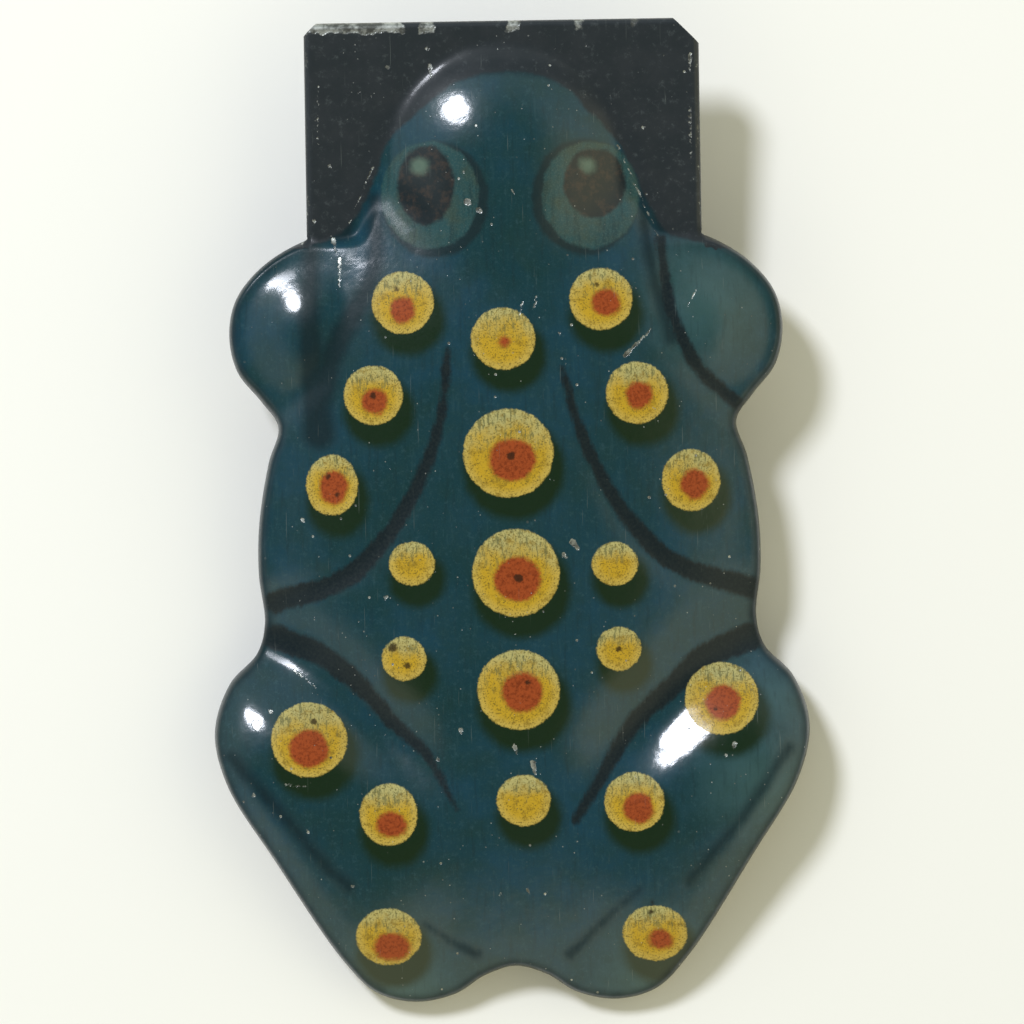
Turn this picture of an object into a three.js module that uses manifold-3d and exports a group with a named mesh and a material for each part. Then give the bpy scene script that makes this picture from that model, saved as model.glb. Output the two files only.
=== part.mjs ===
// Tin frog clicker: one lithographed tinplate shell, pressed in the shape of a squatting frog, whose
// square front plate is folded over the end of a spring-steel strip. Pressing the strip's free end
// up into the shell makes its dished middle snap over and click.
// Units are millimetres. +Z is up through the frog's back, +Y is towards its head, and the origin is
// under the middle of the toy, in the plane that its rim rests on.
import * as THREE from "three";
import { mergeVertices } from "three/addons/utils/BufferGeometryUtils.js";
import Module from "manifold-3d";

const wasm = await Module();
wasm.setup();

// Sheet metal
const TIN = 0.3; // tinplate thickness
const STEEL = 0.35; // spring-steel thickness
const PLAY = 0.05; // room between the strip and each leaf of the fold

// Front plate and the fold that grips the strip
const FRONT_Y = 38;
const PLATE_HALF_WIDTH = 15.3;
const PLATE_BACK_Y = 20;
const FOLD_HALF_WIDTH = 14.7;
const FOLD_DEPTH = 7.5;
const FOLD_LIFT = 1; // the lower leaf's height over the rim plane
const FOLD_RADIUS = TIN + PLAY + STEEL / 2; // the lower leaf, the strip and the plate, stacked
const PLATE_TOP = FOLD_LIFT + 2 * FOLD_RADIUS;
const PLATE_UNDERSIDE = PLATE_TOP - TIN;
const FLANGE_BEND = 0.5; // outside radius where the plate turns down into its side flanges
const CORNER_CLIP = { left: 0.4, right: 1.4 }; // how far each front corner is snipped

// Spring strip
const STRIP_HALF_WIDTH = 11;
const STRIP_BOTTOM = FOLD_LIFT + TIN + PLAY;
const STRIP_FRONT_Y = 37;
const STRIP_END_Y = -12;
const STRIP_END_RADIUS = 3;
const FLEX_Y = PLATE_BACK_Y; // the strip bends up from the back edge of the plate above it
const SNAP_Y = 0; // the strip kinks here when its dish snaps over
const JOINT_GAP = 0.1; // between the strip's rigid lengths
const DISH = { y: 8.5, radius: 6, depth: 1 };

// The body's edge on the rim plane, right side, from where the arm meets the head to between the feet
const SIDE_POINTS = [
  [12.3, 21.8], [15.3, 21.3], [18.7, 19.4], [20.9, 16.8], [21.5, 14.0], [20.9, 11.1], [19.1, 8.8],
  [17.8, 6.8], [18.6, 4.0], [19.4, -0.7], [19.5, -4.6], [19.1, -8.4], [19.7, -10.7], [21.9, -13.1],
  [23.1, -16.8], [22.2, -20.9], [18.6, -26.8], [13.4, -34.7], [10.9, -37.2], [7.8, -38.0],
  [4.7, -37.4], [2.4, -36.0], [0, -35.3],
];
// The head's edge on the front plate, from the same corner to the tip of the snout
const HEAD_POINTS = [[12.3, 21.8], [11.1, 25.0], [9.8, 28.6], [7.6, 31.7], [4.3, 33.8], [0, 34.4]];
const SIDE_SAMPLES = 92; // for both sides together
const HEAD_SAMPLES = 20;

// Pressed relief: each bulge is a rounded rise along a line, mirrored to the left side, with its own radii of
// curvature across the line and past its ends
const BULGES = [
  { name: "torso", from: [0, 10], to: [0, -22], across: 64, along: 42, top: 5.2 },
  { name: "arm", from: [14.6, 13.9], to: [14.6, 13.8], across: 8, along: 8, top: 3.9 },
  { name: "thigh", from: [16.3, -19.5], to: [8.5, -25.8], across: 30, along: 14, top: 5.0 },
];
const HEAD_BULGE = { name: "head", from: [0, 27.2], to: [0, 21.7], across: 15, along: 15, top: 4.6 };
// The body's relief is never lower than this inside the edge's rise, and less is left of it beside the head
const BULGE_FLOOR = { body: 2.2, head: 1.4, from: 19, to: 25 };
const FILLET = 0.8;
// The valley in front of the thigh, mirrored: it deepens from its first point on
const THIGH_CREASE = { from: [3.2, -22.7], to: [19, -10], depth: 1.35, halfWidth: 3.2, fade: 0.5 };
// The sheet's edge turns down to the rim within WALL_RUN. That wall makes WALL_SHARE of the height there,
// and the rest rises over a longer run: [y, run]
const WALL_RUN = 0.45;
const WALL_SHARE = 0.8;
const EDGE_RUNS = [[-40, 2.6], [-15, 2.2], [-9, 0.8], [40, 0.6]];
// Beside the head the body has no wall, and sinks into the plate over HEAD_RUN
const HEAD_RUN = 2;
const HEAD_SINK = 0.6; // how far below the plate's top it gets
const HEAD_START = { from: 20.5, to: 22.5 }; // the Y between which the wall ends
// Rings of the relief mesh, as shares of the way from the outline to the spine
const RING_SHARES = [0, 0.008, 0.022, 0.05, 0.085, 0.13, 0.19, 0.27, 0.36, 0.47, 0.6, 0.76, 0.985];
const SPINE_END_Y = 26;
const SPINE_PULL = 0.8;

const smoothMax = (a, b) => {
  const near = Math.max(FILLET - Math.abs(a - b), 0) / FILLET;
  return Math.max(a, b) + (near * near * FILLET) / 4;
};

// A smooth curve through the right side's points, across the middle and back along the left side.
function mirroredCurve(points) {
  const left = points.slice(0, -1).reverse().map(([x, y]) => [-x, y]);
  const both = [...points, ...left].map(([x, y]) => new THREE.Vector3(x, y, 0));
  return new THREE.CatmullRomCurve3(both, false, "centripetal");
}

// The frog's closed outline as [x, y] points, counter-clockwise, moved inwards by inset.
function frogOutline(inset = 0) {
  const head = mirroredCurve(HEAD_POINTS).getSpacedPoints(HEAD_SAMPLES);
  const side = mirroredCurve(SIDE_POINTS).getSpacedPoints(SIDE_SAMPLES);
  const loop = [...head, ...side.reverse().slice(1, -1)];
  return loop.map((p, i) => {
    const before = loop.at(i - 1);
    const after = loop[(i + 1) % loop.length];
    const along = after.clone().sub(before).normalize();
    return [p.x - along.y * inset, p.y + along.x * inset];
  });
}

const distanceToSegment = (x, y, [ax, ay], [bx, by]) => {
  const dx = bx - ax;
  const dy = by - ay;
  const share = THREE.MathUtils.clamp(((x - ax) * dx + (y - ay) * dy) / (dx * dx + dy * dy), 0, 1);
  return Math.hypot(x - ax - share * dx, y - ay - share * dy);
};

const distanceToLoop = (x, y, loop) =>
  Math.min(...loop.map((point, i) => distanceToSegment(x, y, point, loop[(i + 1) % loop.length])));

// Where a point is along a line, as a length from its start, and how far sideways of it.
function fromLine(x, y, [ax, ay], [bx, by]) {
  const length = Math.hypot(bx - ax, by - ay);
  const lineX = (bx - ax) / length;
  const lineY = (by - ay) / length;
  return { length, travelled: (x - ax) * lineX + (y - ay) * lineY, side: (y - ay) * lineX - (x - ax) * lineY };
}

function bulgeHeight(x, y, { from, to, across, along, top }) {
  const { length, travelled, side } = fromLine(Math.abs(x), y, from, to);
  const beyond = travelled - THREE.MathUtils.clamp(travelled, 0, length);
  return top - side ** 2 / (2 * across) - beyond ** 2 / (2 * along);
}

function creaseDepth(x, y, { from, to, depth, halfWidth, fade }) {
  const { length, travelled } = fromLine(Math.abs(x), y, from, to);
  const distance = distanceToSegment(Math.abs(x), y, from, to);
  return depth * THREE.MathUtils.smoothstep(travelled / length, 0, fade) * Math.exp(-((distance / halfWidth) ** 2));
}

// Height of the body's bulges and creases, before its edge turns down to the rim.
function bodyHeight(x, y) {
  const beside = THREE.MathUtils.smoothstep(y, BULGE_FLOOR.from, BULGE_FLOOR.to);
  const floor = THREE.MathUtils.lerp(BULGE_FLOOR.body, BULGE_FLOOR.head, beside);
  const bulges = BULGES.reduce((height, bulge) => smoothMax(height, bulgeHeight(x, y, bulge)), floor);
  return bulges - creaseDepth(x, y, THIGH_CREASE);
}

function edgeRun(y) {
  const next = EDGE_RUNS.findIndex(([at]) => at > y);
  const [[y0, run0], [y1, run1]] = [EDGE_RUNS[next - 1], EDGE_RUNS[next]];
  return THREE.MathUtils.mapLinear(y, y0, y1, run0, run1);
}

// A quarter circle's rise from 0 at 0 to 1 at 1.
const rounded = (share) => Math.sqrt(1 - (1 - Math.min(share, 1)) ** 2);

// Height of the frog over the rim plane, less inset, at a distance inside its outline.
function frogHeight(x, y, distance, inset) {
  const beside = THREE.MathUtils.smoothstep(y, HEAD_START.from, HEAD_START.to);
  const wall = WALL_SHARE * rounded(distance / WALL_RUN) + (1 - WALL_SHARE) * rounded(distance / edgeRun(y));
  const rise = THREE.MathUtils.lerp(wall, THREE.MathUtils.smoothstep(distance, 0, HEAD_RUN), beside);
  const base = (PLATE_TOP - HEAD_SINK) * beside;
  const body = base + (bodyHeight(x, y) - base) * rise;
  return smoothMax(body, bulgeHeight(x, y, HEAD_BULGE)) - inset * THREE.MathUtils.lerp(wall, 1, beside);
}

// Everything under the relief, down to bottom, as a solid: rings of points run from the outline to the spine.
function underRelief(inset, bottom) {
  const outline = frogOutline(inset);
  const count = outline.length;
  const rings = RING_SHARES.map((share) =>
    outline.map(([x, y]) => {
      const px = x * (1 - share);
      const py = THREE.MathUtils.lerp(y, THREE.MathUtils.clamp(y * SPINE_PULL, -SPINE_END_Y, SPINE_END_Y), share);
      const distance = share === 0 ? 0 : distanceToLoop(px, py, outline);
      return [px, py, Math.max(frogHeight(px, py, distance, inset), 0)];
    }),
  );
  rings[0].forEach((point) => (point[2] = 0));
  rings.unshift(outline.map(([x, y]) => [x, y, bottom]));

  const positions = rings.flat(2);
  const index = [];
  for (let ring = 0; ring + 1 < rings.length; ring++)
    for (let i = 0; i < count; i++) {
      const a = ring * count + i;
      const b = ring * count + ((i + 1) % count);
      index.push(a, b, b + count, a, b + count, a + count);
    }
  const cap = (ring, up) => {
    const flat = rings[ring].map(([x, y]) => new THREE.Vector2(x, y));
    for (const [a, b, c] of THREE.ShapeUtils.triangulateShape(flat, [])) {
      const start = ring * count;
      index.push(start + a, start + (up ? b : c), start + (up ? c : b));
    }
  };
  cap(0, false);
  cap(rings.length - 1, true);
  const geometry = new THREE.BufferGeometry();
  geometry.setAttribute("position", new THREE.Float32BufferAttribute(positions, 3));
  geometry.setIndex(index);
  return solid(geometry);
}

// A closed geometry as a manifold-3d solid.
function solid(geometry) {
  const bare = geometry.clone();
  bare.deleteAttribute("normal");
  bare.deleteAttribute("uv");
  const merged = mergeVertices(bare, 1e-4);
  return new wasm.Manifold(
    new wasm.Mesh({
      numProp: 3,
      vertProperties: merged.attributes.position.array,
      triVerts: new Uint32Array(merged.index.array),
    }),
  );
}

const box = (low, high) => {
  const size = high.map((value, i) => value - low[i]);
  const middle = high.map((value, i) => (value + low[i]) / 2);
  return solid(new THREE.BoxGeometry(...size).translate(...middle));
};

// A shape drawn in X and Y, extruded up from z.
const extrudeUp = (shape, z, height) =>
  solid(new THREE.ExtrudeGeometry(shape, { depth: height, bevelEnabled: false, curveSegments: 6 }).translate(0, 0, z));

// The plate with its two side flanges, turned down to the rim plane.
function flangedPlate() {
  const w = PLATE_HALF_WIDTH;
  const inner = FLANGE_BEND - TIN;
  const section = new THREE.Shape();
  section.moveTo(w, 0);
  section.lineTo(w, PLATE_TOP - FLANGE_BEND);
  section.absarc(w - FLANGE_BEND, PLATE_TOP - FLANGE_BEND, FLANGE_BEND, 0, Math.PI / 2, false);
  section.lineTo(FLANGE_BEND - w, PLATE_TOP);
  section.absarc(FLANGE_BEND - w, PLATE_TOP - FLANGE_BEND, FLANGE_BEND, Math.PI / 2, Math.PI, false);
  section.lineTo(-w, 0);
  section.lineTo(TIN - w, 0);
  section.lineTo(TIN - w, PLATE_UNDERSIDE - inner);
  section.absarc(FLANGE_BEND - w, PLATE_UNDERSIDE - inner, inner, Math.PI, Math.PI / 2, true);
  section.lineTo(w - FLANGE_BEND, PLATE_UNDERSIDE);
  section.absarc(w - FLANGE_BEND, PLATE_UNDERSIDE - inner, inner, Math.PI / 2, 0, true);
  section.lineTo(w - TIN, 0);
  section.closePath();
  const length = FRONT_Y - FOLD_RADIUS - PLATE_BACK_Y;
  const geometry = new THREE.ExtrudeGeometry(section, { depth: length, bevelEnabled: false, curveSegments: 4 });
  geometry.rotateX(Math.PI / 2).translate(0, PLATE_BACK_Y + length, 0);
  return solid(geometry);
}

// The plate's front edge rolled under, with the lower leaf that holds the strip.
function rolledFold() {
  const bendY = FRONT_Y - FOLD_RADIUS;
  const bendZ = FOLD_LIFT + FOLD_RADIUS;
  const backY = FRONT_Y - FOLD_DEPTH;
  const section = new THREE.Shape(); // X is the toy's Y and Y is its Z
  section.moveTo(backY, FOLD_LIFT);
  section.lineTo(bendY, FOLD_LIFT);
  section.absarc(bendY, bendZ, FOLD_RADIUS, -Math.PI / 2, Math.PI / 2, false);
  section.lineTo(backY, PLATE_TOP);
  section.lineTo(backY, PLATE_UNDERSIDE);
  section.lineTo(bendY, PLATE_UNDERSIDE);
  section.absarc(bendY, bendZ, FOLD_RADIUS - TIN, Math.PI / 2, -Math.PI / 2, true);
  section.lineTo(backY, FOLD_LIFT + TIN);
  section.closePath();
  const width = 2 * FOLD_HALF_WIDTH;
  const geometry = new THREE.ExtrudeGeometry(section, { depth: width, bevelEnabled: false, curveSegments: 6 });
  // Shape X, Y and depth become the toy's Y, Z and X.
  geometry.applyMatrix4(new THREE.Matrix4().set(0, 0, 1, -FOLD_HALF_WIDTH, 1, 0, 0, 0, 0, 1, 0, 0, 0, 0, 0, 1));
  return solid(geometry);
}

// The snipped front corner on one side, as the piece to cut away.
function cornerCut(side, clip) {
  const x = side * FOLD_HALF_WIDTH;
  const beyond = side * (PLATE_HALF_WIDTH + 1);
  const corner = [
    [x - side * clip, FRONT_Y + 1],
    [x - side * clip, FRONT_Y],
    [side * PLATE_HALF_WIDTH, FRONT_Y - clip - (PLATE_HALF_WIDTH - FOLD_HALF_WIDTH)],
    [beyond, FRONT_Y - clip - (PLATE_HALF_WIDTH - FOLD_HALF_WIDTH)],
    [beyond, FRONT_Y + 1],
  ];
  return extrudeUp(new THREE.Shape(corner.map(([cx, cy]) => new THREE.Vector2(cx, cy))), -1, PLATE_TOP + 2);
}

function frogShell() {
  const below = -1;
  const hollow = underRelief(TIN, below);
  const underPlate = box(
    [-FOLD_HALF_WIDTH, SIDE_POINTS[1][1] - TIN - 0.6, below],
    [FOLD_HALF_WIDTH, FRONT_Y + 1, PLATE_UNDERSIDE],
  );
  return underRelief(0, 0)
    .subtract(underPlate)
    .add(flangedPlate())
    .subtract(hollow)
    .add(rolledFold())
    .subtract(cornerCut(-1, CORNER_CLIP.left))
    .subtract(cornerCut(1, CORNER_CLIP.right));
}

// A straight length of the strip, with its far corners rounded where it ends free.
function stripLength(frontY, backY, endRadius = 0) {
  const w = STRIP_HALF_WIDTH;
  const shape = new THREE.Shape();
  shape.moveTo(-w, frontY);
  shape.lineTo(-w, backY + endRadius);
  if (endRadius) shape.absarc(endRadius - w, backY + endRadius, endRadius, Math.PI, 1.5 * Math.PI, false);
  shape.lineTo(w - endRadius, backY);
  if (endRadius) shape.absarc(w - endRadius, backY + endRadius, endRadius, -Math.PI / 2, 0, false);
  shape.lineTo(w, frontY);
  shape.closePath();
  return extrudeUp(shape, STRIP_BOTTOM, STEEL);
}

// The dish pressed up into the strip: a bell-shaped bump of constant thickness, turned about its own axis.
function dish() {
  const steps = 8;
  const overlap = 0.02;
  const profile = [];
  const lift = (share) => (DISH.depth * (1 + Math.cos(Math.PI * share))) / 2;
  for (let i = 0; i <= steps; i++)
    profile.push([(i / steps) * DISH.radius, STRIP_BOTTOM + lift(i / steps)]);
  profile.push([DISH.radius + overlap, STRIP_BOTTOM], [DISH.radius + overlap, STRIP_BOTTOM + STEEL]);
  for (let i = steps; i >= 0; i--)
    profile.push([(i / steps) * DISH.radius, STRIP_BOTTOM + STEEL + lift(i / steps)]);
  const geometry = new THREE.LatheGeometry(profile.map(([r, z]) => new THREE.Vector2(r, z)), 32);
  return solid(geometry.rotateX(Math.PI / 2).translate(0, DISH.y, 0));
}

function springBlade() {
  const cut = new THREE.Shape().absarc(0, DISH.y, DISH.radius, 0, 2 * Math.PI, false);
  return stripLength(FLEX_Y - JOINT_GAP / 2, SNAP_Y + JOINT_GAP / 2)
    .subtract(extrudeUp(cut, STRIP_BOTTOM - 1, STEEL + 2))
    .add(dish());
}

function namedMesh(name, made, material) {
  const { numProp, vertProperties, triVerts } = made.getMesh();
  const positions = new Float32Array((vertProperties.length / numProp) * 3);
  for (let i = 0; i * numProp < vertProperties.length; i++)
    positions.set(vertProperties.subarray(i * numProp, i * numProp + 3), i * 3);
  const geometry = new THREE.BufferGeometry();
  geometry.setAttribute("position", new THREE.BufferAttribute(positions, 3));
  geometry.setIndex(new THREE.BufferAttribute(triVerts, 1));
  geometry.computeVertexNormals();
  const mesh = new THREE.Mesh(geometry, material);
  mesh.name = name;
  return mesh;
}

const lithoTin = new THREE.MeshStandardMaterial({ color: 0x1d4450, roughness: 0.25, metalness: 0.3 });
const springSteel = new THREE.MeshStandardMaterial({ color: 0x6e7378, roughness: 0.35, metalness: 1 });

const frog = new THREE.Group();
frog.name = "frog_clicker";
frog.add(
  namedMesh("frog_shell", frogShell(), lithoTin),
  namedMesh("spring_clamped_end", stripLength(STRIP_FRONT_Y, FLEX_Y + JOINT_GAP / 2), springSteel),
  namedMesh("spring_blade", springBlade(), springSteel),
  namedMesh("spring_press_end", stripLength(SNAP_Y - JOINT_GAP / 2, STRIP_END_Y, STRIP_END_RADIUS), springSteel),
);

export default frog;
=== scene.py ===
# Looks of the tin frog clicker, built around its imported frame.
# The shell is one sheet of lithographed tinplate. Its print is kept on the shell's vertices as
# distances to each printed shape, and the tin's material turns those into inks, wear and bare metal,
# along with a painted sheen and painted glints that stand in for light.
# Lengths are millimetres in the frame's axes unless a name or comment says otherwise.
import math
from types import SimpleNamespace

import bpy
import numpy as np
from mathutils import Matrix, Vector, geometry


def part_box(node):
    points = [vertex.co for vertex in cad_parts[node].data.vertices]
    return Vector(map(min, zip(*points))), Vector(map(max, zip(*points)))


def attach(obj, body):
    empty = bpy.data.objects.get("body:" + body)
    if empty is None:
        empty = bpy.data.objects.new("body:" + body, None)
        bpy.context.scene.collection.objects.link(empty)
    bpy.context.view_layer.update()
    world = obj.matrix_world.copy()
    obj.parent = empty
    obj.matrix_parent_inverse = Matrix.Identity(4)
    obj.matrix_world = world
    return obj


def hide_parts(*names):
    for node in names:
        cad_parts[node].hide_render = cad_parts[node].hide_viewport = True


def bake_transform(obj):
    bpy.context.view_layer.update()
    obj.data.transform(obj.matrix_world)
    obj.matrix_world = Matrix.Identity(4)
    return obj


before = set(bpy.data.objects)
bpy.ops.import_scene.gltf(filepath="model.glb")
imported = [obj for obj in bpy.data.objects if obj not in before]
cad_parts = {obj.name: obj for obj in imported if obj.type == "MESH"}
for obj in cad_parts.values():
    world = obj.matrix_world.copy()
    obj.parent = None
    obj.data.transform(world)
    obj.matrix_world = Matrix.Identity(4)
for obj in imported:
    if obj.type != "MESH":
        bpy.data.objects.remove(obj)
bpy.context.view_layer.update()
MM = 0.001  # of a metre
TOUCHING = 1e-4  # points closer than this are in the same place
FAR = 99.0  # further than anything on the toy

# The tin sheet: its front plate, and the fold rolled under the plate's front edge
TIN = 0.3
FRONT_Y = 38.0
PLATE_HALF_WIDTH = 15.3
PLATE_SIDE_END_Y = 21.3
PLATE_TUCK = 1.5  # the plate goes on this far behind its sides' ends, under the arms
PLATE_FILLET = 0.35
FOLD_HALF_WIDTH = 14.7
FOLD_DEPTH = 7.5
FOLD_LIFT = 1.0
FOLD_RADIUS = 0.525
PLATE_TOP = FOLD_LIFT + 2 * FOLD_RADIUS
FLANGE_BEND = 0.5
CLIP_LEFT = 0.4  # snipped off the front corners
CLIP_RIGHT = 1.4
# The steel strip: its thickness, its free end's corners and where its two lengths meet
STEEL = 0.35
STRIP_END_RADIUS = 3.0
STRIP_SPLIT_Y = 1.8
SHEAR_RADIUS = 0.1  # of the strip's upper edges
SHEAR_SHARE = 0.8  # of a full rounding
DISH = (8.5, 6.0, 1.0)  # y, radius and depth
# Two spans of y for the strip's two lengths: from y, to y
FRONT_BEND = (20, 13)
REAR_BEND = (STRIP_SPLIT_Y, -6)

# The body's edge on the rim plane, right side, from where the arm meets the head to between
# the feet
SIDE_POINTS = [
    (12.3, 21.8), (15.3, 21.3), (18.7, 19.4), (20.9, 16.8), (21.5, 14.0), (20.9, 11.1), (19.1, 8.8),
    (17.8, 6.8), (18.6, 4.0), (19.4, -0.7), (19.5, -4.6), (19.1, -8.4), (19.7, -10.7), (21.9, -13.1),
    (23.1, -16.8), (22.2, -20.9), (18.6, -26.8), (13.4, -34.7), (10.9, -37.2), (7.8, -38.0),
    (4.7, -37.4), (2.4, -36.0), (0, -35.3),
]
# The head's edge on the front plate, from the same corner to the tip of the snout
HEAD_POINTS = [(12.3, 21.8), (11.1, 25.0), (9.8, 28.6), (7.6, 31.7), (4.3, 33.8), (0, 34.4)]

# Pressed relief, mirrored to the left side: bulges along lines, each with its line's ends, its radius
# of curvature across the line, the one past its ends, and its top
BULGES = {
    "torso": ((0, 10), (0, -22), 64, 42, 5.2),
    "arm": ((14.6, 13.9), (14.6, 13.8), 8, 8, 3.9),
    "thigh": ((16.3, -19.5), (8.5, -25.8), 30, 14, 5.0),
}
HEAD_BULGE = ((0, 27.2), (0, 21.7), 15, 15, 4.6)
# The body's relief is never lower than this inside the edge's rise: (y, height), behind the head
# and beside it
RELIEF_FLOOR = ((19, 2.2), (25, 1.4))
FILLET = 0.8
WALL_RUN = 0.45  # the sheet's edge turns down to the rim within this
WALL_SHARE = 0.8  # of the height there, which the wall makes; the rest rises over the edge run
# Edge run, by y: (y, run)
EDGE_RUNS = [(-40, 2.6), (-15, 2.2), (-9, 0.8), (40, 0.6)]
OUTER_SLOPE = 2  # how steeply the relief falls outside the body's edge, where nothing of it is kept
# Beside the head the body has no wall: it sinks into the plate instead
HEAD_FROM = (20.5, 22.5)  # the y over which one gives way to the other
HEAD_RUN = 2.0
HEAD_SINK = 0.6  # how far below the plate's top it gets
# Creases pressed along the front leg, in front of the thigh and along the arm, mirrored: (points,
# depth, half-width)
CREASES = [
    ([(4.4, 12.0), (5.5, 6.7), (8.0, 0.9), (12.5, -4.4), (18.8, -6.6)], 0.2, 1.3),
    ([(3.2, -22.7), (19.0, -10.0)], 1.35, 3.2),
    ([(12.3, 21.0), (12.7, 15.6), (14.9, 10.6), (18.0, 7.6)], 0.2, 1.1),
]

# The view from above that the pattern is laid out in: its middle and turn on the toy, its height,
# and the width of what it shows
VIEW_CENTRE = (0.25, -0.08)
VIEW_TURN = math.radians(-0.93)
VIEW_HEIGHT = 450.0
VIEW_WIDTH = 79.6
PRINT_CENTRE = (0.39, -0.08)  # the view's middle in the pattern's own coordinates, used below

# Printed spots: yellow centre and radii, then the red or dark middle's centre and radii
SPOTS = [
    (-0.3, 13.4, 2.5, 2.4, (-0.2, 13.2, 0.45, 0.4)),
    (0.1, 4.5, 3.5, 3.45, (0.4, 4.0, 1.85, 1.65)),
    (0.7, -4.8, 3.4, 3.4, (0.8, -5.3, 1.8, 1.75)),
    (0.9, -13.9, 3.2, 3.1, (1.15, -14.1, 1.6, 1.6)),
    (1.3, -22.5, 2.1, 2.0, None),
    (-8.1, 16.2, 2.4, 2.4, (-8.1, 15.6, 0.97, 1.05)),
    (-10.4, 9.0, 2.3, 2.3, (-10.3, 8.5, 1.05, 1.0)),
    (-13.6, 2.0, 2.0, 2.35, (-13.5, 1.8, 1.1, 1.35)),
    (7.3, 16.5, 2.45, 2.4, (7.7, 16.2, 1.15, 1.1)),
    (10.1, 9.2, 2.4, 2.4, (10.3, 9.0, 1.06, 1.1)),
    (14.3, 2.4, 2.25, 2.4, (14.6, 2.1, 1.1, 1.2)),
    (-7.4, -4.1, 1.78, 1.7, None),
    (8.4, -4.1, 1.78, 1.7, None),
    (-8.0, -11.5, 1.72, 1.7, None),
    (8.7, -10.7, 1.74, 1.7, None),
    (-15.4, -17.8, 2.95, 2.9, (-15.4, -18.5, 1.55, 1.5)),
    (-9.2, -23.6, 2.25, 2.4, (-9.0, -24.4, 1.25, 1.0)),
    (-9.2, -33.1, 2.5, 2.2, (-8.9, -33.9, 1.45, 1.1)),
    (16.7, -14.55, 2.85, 2.8, (16.8, -14.9, 1.4, 1.4)),
    (9.9, -22.6, 2.33, 2.3, (10.2, -23.1, 1.2, 1.2)),
    (11.5, -32.8, 2.5, 2.15, (11.9, -33.3, 1.05, 0.8)),
]
# Each spot's dark green shadow: how far it is moved, and how much larger its radii are
SPOT_SHADE_SHIFT = (0.45, -1.25)
SPOT_SHADE_SPREAD = (0.45, 0.5)
# Small dark marks on the spots: (x, y, radius)
DOTS = [
    (0.3, 4.3, 0.3), (0.9, -5.2, 0.32), (-10.4, 9.0, 0.22), (8.7, -10.7, 0.2), (-8.9, -10.6, 0.34),
    (-7.8, -12.0, 0.26), (-13.9, 2.7, 0.16), (-13.2, 1.2, 0.14), (16.2, -15.4, 0.18),
    (1.6, -13.3, 0.2),
    (11.2, -31.2, 0.2), (-8.6, 17.3, 0.2), (7.0, 17.6, 0.16), (-15.0, -16.4, 0.2),
]

# Brushed dark lines: (points, half-width at the start, half-width at the end)
LINES = [
    ([(-4.6, 12.5), (-5.2, 7.1), (-7.5, 0.9), (-12.2, -5.0), (-18.0, -7.1)], 0.2, 0.85),
    ([(4.3, 11.1), (5.7, 6.3), (8.4, 0.9), (12.7, -3.8), (19.5, -6.1)], 0.2, 0.85),
    (
        [(-3.9, -23.2), (-6.4, -18.8), (-8.8, -16.5), (-11.4, -13.6), (-14.3, -11.3), (-18.1, -9.8)],
        0.15,
        0.95,
    ),
    ([(5.4, -24), (7.1, -21.1), (10, -16.3), (13.1, -13.4), (15.4, -11.3), (18.8, -9.8)], 0.3, 1.05),
    ([(11.9, 21.1), (12.8, 15.6), (15.0, 11.0), (18.1, 8.2)], 0.35, 0.5),
    ([(11.2, -31.5), (11.3, -30.4)], 0.2, 0.1),
]
# Soft dark shading laid on with the same brush, given in the same way
SHADING = [
    ([(-10.3, 24.2), (-10.3, 19.2), (-11.2, 16.6), (-12, 15.2), (-13.4, 12.5), (-14.5, 8.6)], 0.45, 0.9),
    ([(-15.2, 20.5), (-15.4, 15.0), (-15.0, 10.0), (-14.6, 6.0)], 0.5, 1.1),
    ([(-21.5, -19.1), (-19.5, -21.4), (-16.6, -24.6), (-14.0, -27.7), (-12.3, -29.2)], 0.35, 0.3),
    ([(21.9, -18.4), (18.3, -23.8), (15.4, -27.3), (14.2, -28.8)], 0.3, 0.2),
    ([(10.4, 24.5), (11.3, 18.8), (12.8, 13.5)], 0.3, 0.5),
    ([(-2.4, -34.4), (-4.3, -33.5), (-6.4, -32.1)], 0.3, 0.0),
    ([(4.9, -34.5), (7.2, -32.2), (10.3, -29.4)], 0.3, 0.0),
]
# Painted sheen: where the teal is painted paler, standing in for the bright side of the room reflected on
# the right and lower edges: centre and radius
PAINTED_SHEEN_AREAS = [
    (15.3, 16.5, 4.5), (19.0, -20.5, 4.2), (20.5, -14.5, 2.5), (12.0, -36.6, 4.4), (-8.5, -37.4, 4.4),
]
# Where the lacquer is worn dull: centre and radii
DULL_AREAS = [(-10.4, 22.5, 4.6, 3.2), (-17.6, 19.6, 4.4, 1.5), (-17.6, -10.6, 2.0, 1.2)]
# Eyes: ring, the dark shape behind it, pupil and glint, each as a centre and radii
EYES = [
    (
        (-6.0, 24.55, 3.85, 4.2), (-5.6, 24.2, 4.15, 4.5),
        (-6.3, 25.3, 2.2, 3.05), (-6.8, 26.8, 0.75, 0.75),
    ),
    (
        (6.5, 24.6, 3.85, 4.25), (6.1, 24.45, 4.15, 4.5),
        (6.8, 25.5, 2.4, 2.65), (6.3, 26.9, 0.7, 0.6),
    ),
]
# Edge of the teal head print against the black plate, from the left arm over the snout to the
# right arm
HEAD_PRINT = [
    (-15.3, 20.6), (-13.6, 21.2), (-11.9, 22.6), (-10.1, 26.3), (-9.5, 28.3), (-7.5, 30.5),
    (-5.5, 32.2), (-3, 33.7), (0.1, 34.2), (2.7, 33.9), (4.9, 32.6), (6.2, 31.2), (7.7, 29.8),
    (8.8, 28.3), (9.9, 26.3), (11.2, 23.5), (12.6, 21.6), (15.3, 20.9),
]
HEAD_PRINT_BACK_Y = -60  # the teal print's area is closed here, behind the toy
BLACK_FROM_Y = 20.4  # nothing further back than this is black
PLAIN_BLACK = (-13.0, 30.0)  # a place with no print on it but black
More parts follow.
